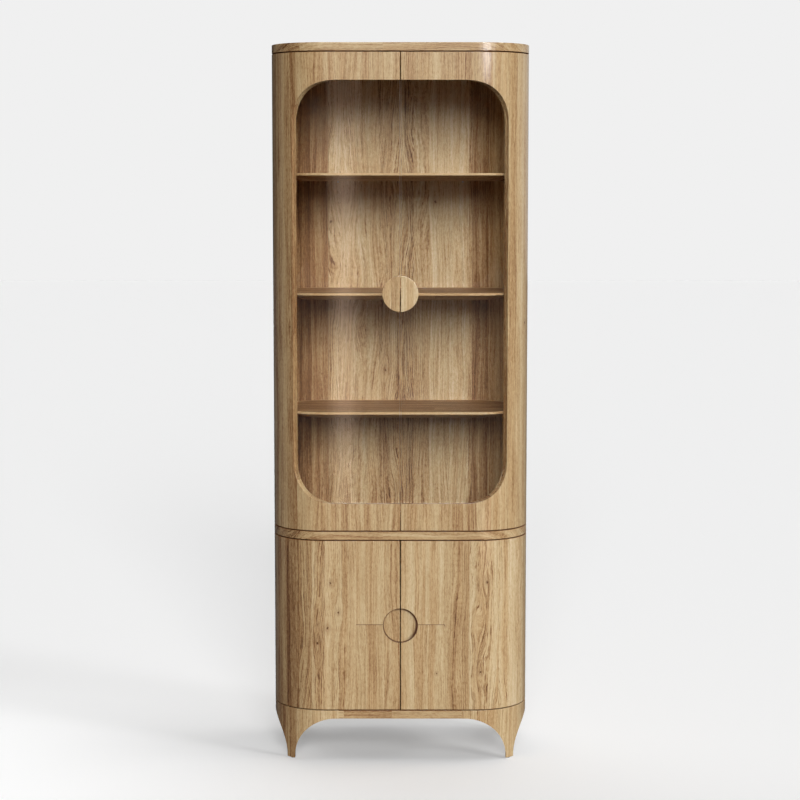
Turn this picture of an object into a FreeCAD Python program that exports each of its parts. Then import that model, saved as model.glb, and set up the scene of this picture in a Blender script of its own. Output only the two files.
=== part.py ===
import FreeCAD
import Part
import math
import os

# Tall display cabinet with bent doors: glazed above, solid below, on arched corner legs.
# Millimetres. The origin is on the floor at the centre of the plan, the front faces -Y, +Z is up.
# Pieces are drawn for the right-hand side (+X) and mirrored for the left.

# Plan, shared by the slabs, doors, sides and legs
WIDTH = 750.0
DEPTH = 400.0
CORNER_RADIUS = 155.0
ARC_X = WIDTH / 2 - CORNER_RADIUS
ARC_Y = DEPTH / 2 - CORNER_RADIUS

# Heights, from the floor up
UNDERSIDE = 127.5
SLAB_THICKNESS = 24.0
REVEAL = 3.0
LOWER_DOOR_HEIGHT = 501.0
UPPER_DOOR_HEIGHT = 1377.5
BASE_TOP = UNDERSIDE + SLAB_THICKNESS
LOWER_DOOR_FOOT = BASE_TOP + REVEAL
MID_FOOT = LOWER_DOOR_FOOT + LOWER_DOOR_HEIGHT + REVEAL
MID_TOP = MID_FOOT + SLAB_THICKNESS
UPPER_DOOR_FOOT = MID_TOP + REVEAL
TOP_FOOT = UPPER_DOOR_FOOT + UPPER_DOOR_HEIGHT + REVEAL
HEIGHT = TOP_FOOT + SLAB_THICKNESS

# Edges and cutting
EDGE_EASE = 1.0
OVERRUN = 5.0
TOUCH = 0.01

# Doors and the pivots that they turn on
DOOR_THICKNESS = 22.0
SEAM_WIDTH = 3.0
HEEL_LENGTH = 11.0
HEEL_RADIUS = 6.0
HEEL_CLEARANCE = 1.0
PIVOT_X = WIDTH / 2 - DOOR_THICKNESS / 2
PIVOT_Y = -ARC_Y
HEEL_SWEEP = math.hypot(DOOR_THICKNESS / 2 - HEEL_RADIUS, HEEL_LENGTH - HEEL_RADIUS) + HEEL_RADIUS
PIVOT_DIAMETER = 8.0
PIVOT_SEAT = 10.0
PIVOT_REACH = 16.0
COLLAR_DIAMETER = 14.0
BEARING_CLEARANCE = 0.1
RUNNING_CLEARANCE = 0.05
BUSH_DIAMETER = 12.0
BUSH_LENGTH = 20.0

# Window in the upper doors, its glass and the bead that holds the glass
STILE_WIDTH = 146.0
TOP_RAIL = 79.0
BOTTOM_RAIL = 78.5
WINDOW_CORNER_RADIUS = 119.0
GLASS_INSET = 11.0
GLASS_THICKNESS = 5.0
GLASS_LAP = 9.0
GLASS_CLEARANCE = 1.0
GLASS_ARRIS = 1.2
BEAD_SETBACK = 1.0
BEAD_CLEARANCE = 0.1
WINDOW_FOOT = UPPER_DOOR_FOOT + BOTTOM_RAIL
WINDOW_TOP = UPPER_DOOR_FOOT + UPPER_DOOR_HEIGHT - TOP_RAIL

# Round handle on the glass, in two halves, clamped by screws from behind
HANDLE_DIAMETER = 104.0
HANDLE_EASE = 1.5
HANDLE_LEVEL = (WINDOW_FOOT + WINDOW_TOP) / 2
BACKING_DIAMETER = 96.0
BACKING_THICKNESS = 8.0
HANDLE_SCREW_DIAMETER = 4.0
HANDLE_SCREW_HEAD = 7.5
HANDLE_SCREW_BITE = 7.5
HANDLE_SCREW_ACROSS = 26.0
HANDLE_SCREW_RISE = 24.0
GLASS_HOLE_DIAMETER = 6.0

# Round finger recess in the lower doors, with a groove behind its rim and a fine line each side
RECESS_DIAMETER = 100.0
RECESS_DEPTH = 10.0
FINGER_GROOVE_REACH = 5.0
FINGER_GROOVE_HEIGHT = 5.0
RECESS_LEVEL = LOWER_DOOR_FOOT + LOWER_DOOR_HEIGHT / 2
LINE_LENGTH = 78.0
LINE_WIDTH = 0.9
LINE_DEPTH = 0.8
LINE_RISE = 3.0

# Bent sides and flat backs
SIDE_THICKNESS = 22.0
SIDE_FRONT = PIVOT_Y + HEEL_SWEEP + HEEL_CLEARANCE
BACK_THICKNESS = 12.0
BACK_FIT = 0.5
LIP_WIDTH = 12.0
BACK_INSIDE = DEPTH / 2 - SIDE_THICKNESS

# Dowels between the sides and the slabs
DOWEL_DIAMETER = 8.0
DOWEL_SEAT = 10.0
DOWEL_LENGTH = 30.0
DOWEL_SIDE_STEP = 26.0
DOWEL_SIDE_COUNT = 2
DOWEL_REAR_STEP = 8.0
FIT = 0.05

# Screws that hold the backs, driven through the lips of the sides
BACK_SCREW_DIAMETER = 3.5
BACK_SCREW_HEAD = 7.0
BACK_SCREW_BITE = 9.0
BACK_SCREW_MARGIN = 60.0
UPPER_BACK_SCREWS = 6
LOWER_BACK_SCREWS = 3
DRIVE_WIDTH = 0.9
DRIVE_DEPTH = 1.4

# Shelves
DISPLAY_SHELVES = 3
SHELF_THICKNESS = 22.0
SHELF_NOSE = 6.5
SHELF_BEVEL = 55.0
SHELF_SETBACK = 34.0
SHELF_CLEARANCE = 1.0
LOWER_SHELF_THICKNESS = 18.0
LOWER_SHELF_SETBACK = 60.0

# Pins that the shelves lie on
SHELF_PIN_DIAMETER = 5.0
SHELF_PIN_SEAT = 8.0
SHELF_PIN_REACH = 10.0
SHELF_PIN_FRONT_STEP = 12.0
SHELF_PIN_REAR_STEP = 30.0

# Corner legs: solid blocks let into the base slab, sawn to an arch from the front and the side
LEG_THICKNESS = 45.0
FOOT_WIDTH = 64.0
FOOT_DEPTH = 50.3
FOOT_STRAIGHT = 8.0
FRONT_ARCH_REACH = 119.5
SIDE_CROWN_SPACING = 60.4
LEG_END_MARGIN = 11.5
FOOT_INNER_X = WIDTH / 2 - FOOT_WIDTH
FOOT_INNER_Y = DEPTH / 2 - FOOT_DEPTH
FRONT_CROWN = FOOT_INNER_X - FRONT_ARCH_REACH
SIDE_CROWN = SIDE_CROWN_SPACING / 2
LEG_START_X = FRONT_CROWN - LEG_END_MARGIN
LEG_END_Y = SIDE_CROWN - LEG_END_MARGIN
LEG_DOWEL_LENGTH = 30.0
LEG_DOWEL_ANGLE = 45.0
GLIDE_DIAMETER = 11.0
GLIDE_THICKNESS = 2.0
GLIDE_MARGIN = 1.1
GLIDE_NAIL_DIAMETER = 2.5
GLIDE_NAIL_LENGTH = 12.0

# Magnetic catches under the slabs, and the strikes that they hold
CATCH_WIDTH = 40.0
CATCH_DEPTH = 14.0
CATCH_HEIGHT = 16.0
CATCH_ACROSS = 45.0
CATCH_EASE = 1.5
CATCH_GAP = 0.3
MAGNET_WIDTH = 26.0
MAGNET_HEIGHT = 9.0
MAGNET_RECESS = 0.6
STRIKE_DIAMETER = 9.0
STRIKE_THICKNESS = 1.5
STRIKE_SHANK_DIAMETER = 4.0
STRIKE_SHANK_LENGTH = 9.0

RIGHT_CENTRE = FreeCAD.Vector(ARC_X, -ARC_Y, 0)
UP = FreeCAD.Vector(0, 0, 1)
BACKWARD = FreeCAD.Vector(0, 1, 0)
FORWARD = FreeCAD.Vector(0, -1, 0)
RIGHTWARD = FreeCAD.Vector(1, 0, 0)
ABOVE = 1
BELOW = -1


def at(x, y, z=0.0):
    return FreeCAD.Vector(x, y, z)


def outward(angle):
    """Unit vector in plan, `angle` degrees round from straight ahead towards the right."""
    turn = math.radians(angle)
    return at(math.sin(turn), -math.cos(turn))


def inset_of(point):
    """How far a point in plan lies inside the cabinet's outline."""
    past_x = max(abs(point.x) - ARC_X, 0)
    past_y = max(abs(point.y) - ARC_Y, 0)
    return CORNER_RADIUS - math.hypot(past_x, past_y)


def line(start, end):
    return Part.makeLine(start, end)


def arc(radius, start_angle, end_angle):
    """Arc about the centre of the right front corner."""
    angles = (start_angle, (start_angle + end_angle) / 2, end_angle)
    return Part.Arc(*(RIGHT_CENTRE + outward(a) * radius for a in angles)).toShape()


def face_of(edges):
    return Part.Face(Part.Wire(Part.__sortEdges__(edges)))


def raised(plan, foot, top):
    """Upright prism over a plan, from one level to another."""
    prism = plan.extrude(at(0, 0, top - foot))
    prism.translate(at(0, 0, foot))
    return prism


def box(low, high):
    size = high - low
    return Part.makeBox(size.x, size.y, size.z, low)


def rod(diameter, length, start, direction):
    return Part.makeCylinder(diameter / 2, length, start, direction)


def mirrored(shape):
    return shape.mirror(at(0, 0), RIGHTWARD)


def to_rear(shape):
    return shape.mirror(at(0, 0), BACKWARD)


def both_sides(shape):
    return [shape, mirrored(shape)]


def cut_all(shape, tools):
    return shape.cut(Part.Compound(tools)) if tools else shape


def front_band(outer, inner, start_x, end_angle, tail=0.0):
    """Plan of a band that runs along the front and round the right front corner.

    It lies between two depths inside the outline, starts at start_x and ends on a radius
    of the corner. With an end angle of 90 degrees, a tail carries it on straight back.
    """
    big, small = CORNER_RADIUS - outer, CORNER_RADIUS - inner
    tip = at(0, tail)
    big_end = RIGHT_CENTRE + outward(end_angle) * big
    small_end = RIGHT_CENTRE + outward(end_angle) * small
    edges = [
        line(at(start_x, -ARC_Y - big), at(ARC_X, -ARC_Y - big)),
        arc(big, 0, end_angle),
        line(big_end + tip, small_end + tip),
        arc(small, 0, end_angle),
        line(at(ARC_X, -ARC_Y - small), at(start_x, -ARC_Y - small)),
        line(at(start_x, -ARC_Y - small), at(start_x, -ARC_Y - big)),
    ]
    if tail:
        edges += [line(big_end, big_end + tip), line(small_end, small_end + tip)]
    return face_of(edges)


def half_plan():
    """Right half of the cabinet's outline."""
    path = [at(ARC_X, DEPTH / 2), at(0, DEPTH / 2), at(0, -DEPTH / 2), at(ARC_X, -DEPTH / 2)]
    edges = [line(a, b) for a, b in zip(path, path[1:])]
    bend = arc(CORNER_RADIUS, 0, 90)
    edges += [bend, to_rear(bend), line(at(WIDTH / 2, -ARC_Y), at(WIDTH / 2, ARC_Y))]
    return face_of(edges)


def edges_where(shape, test):
    """Edges of a shape whose ends and middle all pass a test."""
    def points(edge):
        first, last = edge.ParameterRange
        return [edge.valueAt(p) for p in (first, (first + last) / 2, last)]
    return [edge for edge in shape.Edges if all(test(p) for p in points(edge))]


def eased(shape, levels):
    """Round the outer edges of a piece where they meet the given levels."""
    def on_rim(point):
        level_met = any(abs(point.z - level) < TOUCH for level in levels)
        return abs(inset_of(point)) < TOUCH and level_met
    return shape.makeFillet(EDGE_EASE, edges_where(shape, on_rim))


# Slabs and the holes in them

def slab_blank(foot):
    half = raised(half_plan(), foot, foot + SLAB_THICKNESS)
    whole = half.fuse(mirrored(half)).removeSplitter()
    return eased(whole, (foot, foot + SLAB_THICKNESS))


def along_side(distance):
    """Plan place on the middle line of the right-hand side, from its front edge round the bend."""
    ring = CORNER_RADIUS - SIDE_THICKNESS / 2
    past_flat = distance - (ARC_Y - SIDE_FRONT)
    if past_flat <= 0:
        return at(ARC_X + ring, SIDE_FRONT + distance)
    turn = past_flat / ring
    return at(ARC_X + ring * math.cos(turn), ARC_Y + ring * math.sin(turn))


def side_dowel_places():
    """Plan places of the dowels at one end of the right-hand side panel."""
    bend = (CORNER_RADIUS - SIDE_THICKNESS / 2) * math.pi / 2
    flat = ARC_Y - SIDE_FRONT
    distances = [DOWEL_SIDE_STEP * (index + 1) for index in range(DOWEL_SIDE_COUNT)]
    distances.append(flat + bend / 2)
    rear = at(ARC_X + DOWEL_REAR_STEP, DEPTH / 2 - SIDE_THICKNESS / 2)
    return [along_side(distance) for distance in distances] + [rear]


def side_dowels(joint_level, slab_side, diameter=DOWEL_DIAMETER):
    """Upright dowels at a joint whose slab is above or below it."""
    foot = min(slab_side * DOWEL_SEAT, slab_side * (DOWEL_SEAT - DOWEL_LENGTH)) + joint_level
    dowels = []
    for place in side_dowel_places():
        dowels += both_sides(rod(diameter, DOWEL_LENGTH, place + at(0, 0, foot), UP))
    return dowels


def side_dowel_holes(joint_level, slab_side):
    return side_dowels(joint_level, slab_side, DOWEL_DIAMETER + 2 * FIT)


def pivot_hole(level, upwards):
    """Seat of a pivot pin in a slab, going up or down from one of its faces."""
    direction = UP if upwards else UP * -1
    hole = rod(PIVOT_DIAMETER + 2 * FIT, PIVOT_SEAT, at(PIVOT_X, PIVOT_Y, level), direction)
    return both_sides(hole)


def top_slab():
    holes = side_dowel_holes(TOP_FOOT, ABOVE) + pivot_hole(TOP_FOOT, True)
    return cut_all(slab_blank(TOP_FOOT), holes)


def mid_slab():
    holes = side_dowel_holes(MID_FOOT, ABOVE) + side_dowel_holes(MID_TOP, BELOW)
    holes += pivot_hole(MID_FOOT, True) + pivot_hole(MID_TOP, False)
    return cut_all(slab_blank(MID_FOOT), holes)


def base_slab():
    notch = raised(leg_plan(), UNDERSIDE - OVERRUN, BASE_TOP + OVERRUN)
    notches = all_corners(notch)
    holes = side_dowel_holes(BASE_TOP, BELOW) + leg_dowels(DOWEL_DIAMETER + 2 * FIT)
    holes += pivot_hole(BASE_TOP, False)
    return cut_all(slab_blank(UNDERSIDE), notches + holes)


# Legs

def all_corners(shape):
    return both_sides(shape) + both_sides(to_rear(shape))


def leg_plan():
    """Plan of the right front corner block, sawn off square at both ends."""
    plan = front_band(0, LEG_THICKNESS, LEG_START_X, 90, ARC_Y)
    return plan.cut(Part.makePlane(WIDTH, LEG_END_Y + OVERRUN, at(0, -LEG_END_Y))).Faces[0]


def arch_profile(foot_edge, crown):
    """Space under an arch as a flat face, from the inner edge of the foot to where it is level."""
    shoulder = math.sin(math.pi / 4)
    bend = Part.Arc(
        at(foot_edge, 0, FOOT_STRAIGHT),
        at(crown + (foot_edge - crown) * shoulder, 0,
           FOOT_STRAIGHT + (UNDERSIDE - FOOT_STRAIGHT) * shoulder),
        at(crown, 0, UNDERSIDE),
    ).toShape()
    corners = [at(crown, 0, UNDERSIDE), at(0, 0, UNDERSIDE), at(0, 0, -OVERRUN),
               at(foot_edge, 0, -OVERRUN), at(foot_edge, 0, FOOT_STRAIGHT)]
    edges = [line(a, b) for a, b in zip(corners, corners[1:])]
    return face_of(edges + [bend])


def front_arch():
    arch = arch_profile(FOOT_INNER_X, FRONT_CROWN).extrude(at(0, DEPTH / 2 + OVERRUN))
    arch.translate(at(0, -DEPTH / 2 - OVERRUN))
    return arch


def side_arch():
    arch = arch_profile(FOOT_INNER_Y, SIDE_CROWN).extrude(at(0, WIDTH / 2 + OVERRUN))
    arch.rotate(at(0, 0), UP, -90)
    return arch


def leg_dowels(diameter=DOWEL_DIAMETER):
    """Level dowels from each leg into the base slab, at the block's ends and its middle."""
    level = UNDERSIDE + SLAB_THICKNESS / 2
    middle = LEG_THICKNESS / 2
    half = LEG_DOWEL_LENGTH / 2
    radial = outward(LEG_DOWEL_ANGLE)
    inner = RIGHT_CENTRE + radial * (CORNER_RADIUS - LEG_THICKNESS - half) + at(0, 0, level)
    dowels = [
        rod(diameter, LEG_DOWEL_LENGTH, at(LEG_START_X - half, middle - DEPTH / 2, level), RIGHTWARD),
        rod(diameter, LEG_DOWEL_LENGTH, at(WIDTH / 2 - middle, -LEG_END_Y - half, level), BACKWARD),
        rod(diameter, LEG_DOWEL_LENGTH, inner, radial),
    ]
    return [copy for dowel in dowels for copy in all_corners(dowel)]


def leg_front_right():
    block = raised(leg_plan(), GLIDE_THICKNESS, BASE_TOP)
    block = block.cut([front_arch(), side_arch()])
    block = eased(block, (BASE_TOP,))
    holes = leg_dowels(DOWEL_DIAMETER + 2 * FIT) + glide_nails(GLIDE_NAIL_DIAMETER + 2 * FIT)
    return cut_all(block, holes + side_dowel_holes(BASE_TOP, BELOW) + pivot_hole(BASE_TOP, False))


def leg_rear_right():
    block = to_rear(raised(leg_plan(), GLIDE_THICKNESS, BASE_TOP).cut([front_arch(), side_arch()]))
    block = eased(block, (BASE_TOP,))
    holes = leg_dowels(DOWEL_DIAMETER + 2 * FIT) + glide_nails(GLIDE_NAIL_DIAMETER + 2 * FIT)
    return cut_all(block, holes + side_dowel_holes(BASE_TOP, BELOW))


def glide_place():
    middle = GLIDE_DIAMETER / 2 + GLIDE_MARGIN
    return at(FOOT_INNER_X + middle, -FOOT_INNER_Y - middle)


def glide_nails(diameter):
    foot = glide_place() + at(0, 0, GLIDE_THICKNESS)
    return all_corners(rod(diameter, GLIDE_NAIL_LENGTH, foot, UP))


def foot_glides():
    pad = rod(GLIDE_DIAMETER, GLIDE_THICKNESS, glide_place(), UP)
    pads = all_corners(pad)
    return [pad.fuse(nail) for pad, nail in zip(pads, glide_nails(GLIDE_NAIL_DIAMETER))]


# Doors

def door_blank(foot, height):
    """Right-hand door with no window or recess: a J in plan, rounded where it turns on its pivot."""
    top = foot + height
    blank = raised(front_band(0, DOOR_THICKNESS, SEAM_WIDTH / 2, 90, HEEL_LENGTH), foot, top)

    def on_heel(point):
        return abs(point.x - WIDTH / 2) < TOUCH and abs(point.y - PIVOT_Y - HEEL_LENGTH) < TOUCH
    blank = blank.makeFillet(HEEL_RADIUS, edges_where(blank, on_heel))

    def on_seam(point):
        return abs(point.x - SEAM_WIDTH / 2) < TOUCH and abs(point.y + DEPTH / 2) < TOUCH
    blank = eased(blank, (foot, top))
    return blank.makeFillet(EDGE_EASE, edges_where(blank, on_seam))


def bush_holes(foot, height):
    diameter = BUSH_DIAMETER + 2 * FIT
    low = rod(diameter, BUSH_LENGTH, at(PIVOT_X, PIVOT_Y, foot), UP)
    high = rod(diameter, BUSH_LENGTH, at(PIVOT_X, PIVOT_Y, foot + height - BUSH_LENGTH), UP)
    return [low, high]


def pivot_bushes(foot, height):
    """Bushes let into the bottom and the top of a right-hand door."""
    bore = PIVOT_DIAMETER + 2 * RUNNING_CLEARANCE
    bushes = []
    for level in (foot, foot + height - BUSH_LENGTH):
        place = at(PIVOT_X, PIVOT_Y, level)
        sleeve = rod(BUSH_DIAMETER, BUSH_LENGTH, place, UP)
        bushes.append(sleeve.cut(rod(bore, BUSH_LENGTH, place, UP)))
    return bushes


def pivot_pins(foot, height):
    """Pins fixed in the slabs under and over a pair of doors; the lower ones carry them on a collar."""
    length = PIVOT_SEAT + REVEAL + PIVOT_REACH
    low = rod(PIVOT_DIAMETER, length, at(PIVOT_X, PIVOT_Y, foot - REVEAL - PIVOT_SEAT), UP)
    collar_height = REVEAL - BEARING_CLEARANCE
    collar = rod(COLLAR_DIAMETER, collar_height, at(PIVOT_X, PIVOT_Y, foot - REVEAL), UP)
    high = rod(PIVOT_DIAMETER, length, at(PIVOT_X, PIVOT_Y, foot + height - PIVOT_REACH), UP)
    return both_sides(low.fuse(collar)) + both_sides(high)


def window_band(margin, outer, inner):
    """Solid that fills the right half of the window between two depths inside the doors' face.

    It is `margin` larger than the window all round. Its end is radial to the bent corner, and
    its corners are rounded about that radius.
    """
    end_angle = 90 - math.degrees((STILE_WIDTH - margin) / CORNER_RADIUS)
    band = raised(front_band(outer, inner, 0, 90), 0, HEIGHT)
    radius = WINDOW_CORNER_RADIUS + margin
    return band.common(window_bar(end_angle, WINDOW_FOOT - margin, WINDOW_TOP + margin, radius))


def window_bar(end_angle, foot, top, radius):
    """Bar with the window's outline, which lies along the radius at the window's end."""
    along = outward(end_angle)
    start = RIGHT_CENTRE - along * WIDTH
    across = along.cross(UP)
    short = radius * (1 - math.sin(math.pi / 4))

    def spot(inset, level):
        return start + across * inset + at(0, 0, level)
    path = [spot(radius, foot), spot(WIDTH, foot), spot(WIDTH, top), spot(radius, top)]
    edges = [line(a, b) for a, b in zip(path, path[1:])]
    edges.append(line(spot(0, foot + radius), spot(0, top - radius)))
    for level, rise in ((foot, 1), (top, -1)):
        ends = [spot(radius, level), spot(short, level + rise * short), spot(0, level + rise * radius)]
        edges.append(Part.Arc(*ends).toShape())
    return face_of(edges).extrude(along * 2 * WIDTH)


def upper_door_right():
    blank = door_blank(UPPER_DOOR_FOOT, UPPER_DOOR_HEIGHT)
    window = window_band(0, -OVERRUN, DOOR_THICKNESS + OVERRUN)
    rebate = window_band(GLASS_LAP + GLASS_CLEARANCE, GLASS_INSET, DOOR_THICKNESS + OVERRUN)
    holes = bush_holes(UPPER_DOOR_FOOT, UPPER_DOOR_HEIGHT)
    holes.append(strike_shank(UPPER_DOOR_FOOT + UPPER_DOOR_HEIGHT, FIT))
    return cut_all(blank.cut([window, rebate]), holes)


def trimmed_at_seam(shape, gap):
    """Keep what lies `gap` or more to the right of the middle of the cabinet."""
    return shape.cut(box(at(-WIDTH, -DEPTH, 0), at(gap, 0, HEIGHT)))


def glass_right():
    depth = GLASS_INSET + GLASS_THICKNESS
    pane = trimmed_at_seam(window_band(GLASS_LAP, GLASS_INSET, depth), SEAM_WIDTH / 2)

    def on_edge(point):
        return abs(point.x - SEAM_WIDTH / 2) < TOUCH and abs(inset_of(point) - GLASS_INSET) < TOUCH
    pane = pane.makeChamfer(GLASS_ARRIS, edges_where(pane, on_edge))
    holes = [rod(GLASS_HOLE_DIAMETER, DEPTH / 2, place - BACKWARD * OVERRUN, BACKWARD)
             for place in handle_screw_places(-DEPTH / 2)]
    return cut_all(pane, holes)


def glazing_bead_right():
    depth = GLASS_INSET + GLASS_THICKNESS
    outside = window_band(GLASS_LAP + GLASS_CLEARANCE - BEAD_CLEARANCE, depth, DOOR_THICKNESS)
    inside = window_band(BEAD_SETBACK, depth - OVERRUN, DOOR_THICKNESS + OVERRUN)
    return trimmed_at_seam(outside.cut(inside), SEAM_WIDTH / 2)


def half_disc(diameter, front, thickness):
    """Right-hand half of an upright disc at the handle's level."""
    disc = rod(diameter, thickness, at(0, front, HANDLE_LEVEL), BACKWARD)
    return trimmed_at_seam(disc, SEAM_WIDTH / 2)


def handle_screw_places(y):
    return [at(HANDLE_SCREW_ACROSS, y, HANDLE_LEVEL + side * HANDLE_SCREW_RISE) for side in (-1, 1)]


def countersunk_screw(head, diameter, length, place, direction, fit=0.0):
    """Countersunk screw whose flat head lies at `place`, pointing along `direction`."""
    cone_height = (head - diameter) / 2
    cone = Part.makeCone(head / 2 + fit, diameter / 2 + fit, cone_height, place, direction)
    return cone.fuse(rod(diameter + 2 * fit, length, place, direction)).removeSplitter()


def with_drive(screw, head, place, direction):
    """Cut a cross recess into the head of a screw that points along Y."""
    arm = head / 4
    deep = direction * DRIVE_DEPTH
    cuts = []
    for across, up in ((arm, DRIVE_WIDTH / 2), (DRIVE_WIDTH / 2, arm)):
        slot = box_between(place + at(-across, 0, -up), place + at(across, 0, up) + deep)
        cuts.append(slot)
    return screw.cut(cuts)


def box_between(corner, other):
    low = at(*(min(a, b) for a, b in zip(corner, other)))
    high = at(*(max(a, b) for a, b in zip(corner, other)))
    return box(low, high)


def handle_right():
    disc = half_disc(HANDLE_DIAMETER, -DEPTH / 2, GLASS_INSET)

    def on_front_rim(point):
        return abs(point.y + DEPTH / 2) < TOUCH
    disc = disc.makeFillet(HANDLE_EASE, edges_where(disc, on_front_rim))
    front = -DEPTH / 2 + GLASS_INSET
    bores = [rod(HANDLE_SCREW_DIAMETER + 2 * FIT, HANDLE_SCREW_BITE, place, FORWARD)
             for place in handle_screw_places(front)]
    return cut_all(disc, bores)


def backing_front():
    return -DEPTH / 2 + GLASS_INSET + GLASS_THICKNESS


def handle_screws_right(fit=0.0):
    head_y = backing_front() + BACKING_THICKNESS
    length = BACKING_THICKNESS + GLASS_THICKNESS + HANDLE_SCREW_BITE
    return [countersunk_screw(HANDLE_SCREW_HEAD, HANDLE_SCREW_DIAMETER, length, place, FORWARD, fit)
            for place in handle_screw_places(head_y)]


def handle_backing_right():
    disc = half_disc(BACKING_DIAMETER, backing_front(), BACKING_THICKNESS)
    return cut_all(disc, handle_screws_right(FIT))


def lower_door_right():
    blank = door_blank(LOWER_DOOR_FOOT, LOWER_DOOR_HEIGHT)
    front = -DEPTH / 2
    recess = rod(RECESS_DIAMETER, RECESS_DEPTH + OVERRUN, at(0, front - OVERRUN, RECESS_LEVEL), BACKWARD)
    groove_front = front + RECESS_DEPTH - FINGER_GROOVE_HEIGHT
    groove = rod(RECESS_DIAMETER + 2 * FINGER_GROOVE_REACH, FINGER_GROOVE_HEIGHT,
                 at(0, groove_front, RECESS_LEVEL), BACKWARD)
    line_start, line_level = RECESS_DIAMETER / 2 - OVERRUN, RECESS_LEVEL + LINE_RISE
    fine_line = box(at(line_start, front - OVERRUN, line_level - LINE_WIDTH / 2),
                    at(RECESS_DIAMETER / 2 + LINE_LENGTH, front + LINE_DEPTH, line_level + LINE_WIDTH / 2))
    holes = bush_holes(LOWER_DOOR_FOOT, LOWER_DOOR_HEIGHT)
    holes.append(strike_shank(LOWER_DOOR_FOOT + LOWER_DOOR_HEIGHT, FIT))
    return cut_all(blank, [recess, groove, fine_line] + holes)


# Magnetic catches

def strike_place(door_top):
    catch_middle = door_top + REVEAL - CATCH_HEIGHT / 2
    return at(CATCH_ACROSS, DOOR_THICKNESS - DEPTH / 2, catch_middle)


def strike_shank(door_top, fit=0.0):
    return rod(STRIKE_SHANK_DIAMETER + 2 * fit, STRIKE_SHANK_LENGTH, strike_place(door_top), FORWARD)


def strike(door_top):
    disc = rod(STRIKE_DIAMETER, STRIKE_THICKNESS, strike_place(door_top), BACKWARD)
    return disc.fuse(strike_shank(door_top))


def magnetic_catches(door_top):
    """Pair of catches fixed under the slab over a pair of doors, each with its magnet let in."""
    slab_foot = door_top + REVEAL
    front = DOOR_THICKNESS - DEPTH / 2 + STRIKE_THICKNESS + CATCH_GAP
    housing = box(at(CATCH_ACROSS - CATCH_WIDTH / 2, front, slab_foot - CATCH_HEIGHT),
                  at(CATCH_ACROSS + CATCH_WIDTH / 2, front + CATCH_DEPTH, slab_foot))

    def on_corner(point):
        return abs(point.z - slab_foot) > TOUCH
    housing = housing.makeFillet(CATCH_EASE, edges_where(housing, on_corner))
    level = slab_foot - CATCH_HEIGHT / 2
    window = box(at(CATCH_ACROSS - MAGNET_WIDTH / 2, front - OVERRUN, level - MAGNET_HEIGHT / 2),
                 at(CATCH_ACROSS + MAGNET_WIDTH / 2, front + MAGNET_RECESS, level + MAGNET_HEIGHT / 2))
    return both_sides(housing.cut(window))


# Sides and backs

def side_right(foot, top, backs, pins):
    """Bent right-hand side: flat, then round the rear corner to a lip behind the back panel."""
    tail = ARC_Y - SIDE_FRONT
    plan = to_rear(front_band(0, SIDE_THICKNESS, ARC_X - LIP_WIDTH, 90, tail))
    panel = raised(plan, foot, top)
    pocket = box(at(0, BACK_INSIDE - OVERRUN, foot), at(ARC_X, BACK_INSIDE + BACK_THICKNESS, top))
    holes = side_dowel_holes(foot, BELOW) + side_dowel_holes(top, ABOVE) + pins + backs
    return cut_all(panel.cut(pocket), holes)


def back_panel(foot, top, screws, pins):
    half = ARC_X - BACK_FIT
    panel = box(at(-half, BACK_INSIDE, foot), at(half, BACK_INSIDE + BACK_THICKNESS, top))
    return cut_all(panel, screws + pins)


def back_screws(foot, top, count, fit=0.0, drive=True):
    """Screws down both lips of a compartment, evenly spaced between its ends."""
    first, last = foot + BACK_SCREW_MARGIN, top - BACK_SCREW_MARGIN
    length = SIDE_THICKNESS - BACK_THICKNESS + BACK_SCREW_BITE
    screws = []
    for index in range(count):
        level = first + (last - first) * index / (count - 1)
        place = at(ARC_X - LIP_WIDTH / 2, DEPTH / 2, level)
        screw = countersunk_screw(BACK_SCREW_HEAD, BACK_SCREW_DIAMETER, length, place, FORWARD, fit)
        if drive:
            screw = with_drive(screw, BACK_SCREW_HEAD, place, FORWARD)
        screws += both_sides(screw)
    return screws


# Shelves and their pins

def shelf_half_plan(setback):
    """Right half of a shelf: concentric with the doors in front, close to the sides behind."""
    front_radius = CORNER_RADIUS - setback
    rear_radius = CORNER_RADIUS - SIDE_THICKNESS - SHELF_CLEARANCE
    side_x, rear_y = ARC_X + rear_radius, ARC_Y + rear_radius
    front_x = ARC_X + front_radius
    rear_arc = to_rear(arc(rear_radius, 0, 90))
    path = [at(front_x, -ARC_Y), at(front_x, SIDE_FRONT), at(side_x, SIDE_FRONT), at(side_x, ARC_Y)]
    edges = [line(a, b) for a, b in zip(path, path[1:])] + [rear_arc, arc(front_radius, 0, 90)]
    path = [at(ARC_X, rear_y), at(0, rear_y), at(0, -ARC_Y - front_radius),
            at(ARC_X, -ARC_Y - front_radius)]
    edges += [line(a, b) for a, b in zip(path, path[1:])]
    return face_of(edges)


def shelf_blank(top, thickness, setback):
    half = raised(shelf_half_plan(setback), top - thickness, top)
    return half.fuse(mirrored(half)).removeSplitter()


def bevel_waste(top):
    """Wood planed off under the front of a display shelf, leaving a thin nose."""
    foot, nose_foot = top - SHELF_THICKNESS, top - SHELF_NOSE
    front = CORNER_RADIUS - SHELF_SETBACK
    slope = (nose_foot - foot) / SHELF_BEVEL
    points = [at(0, -front - OVERRUN, foot - OVERRUN),
              at(0, -front - OVERRUN, nose_foot + OVERRUN * slope),
              at(0, -front + SHELF_BEVEL + OVERRUN / slope, foot - OVERRUN)]
    profile = Part.Face(Part.makePolygon(points + points[:1]))
    profile.translate(at(ARC_X, -ARC_Y))
    bend = profile.revolve(RIGHT_CENTRE, UP, 90)
    straight = profile.extrude(at(-ARC_X, 0))
    return both_sides(straight) + both_sides(bend)


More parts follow.
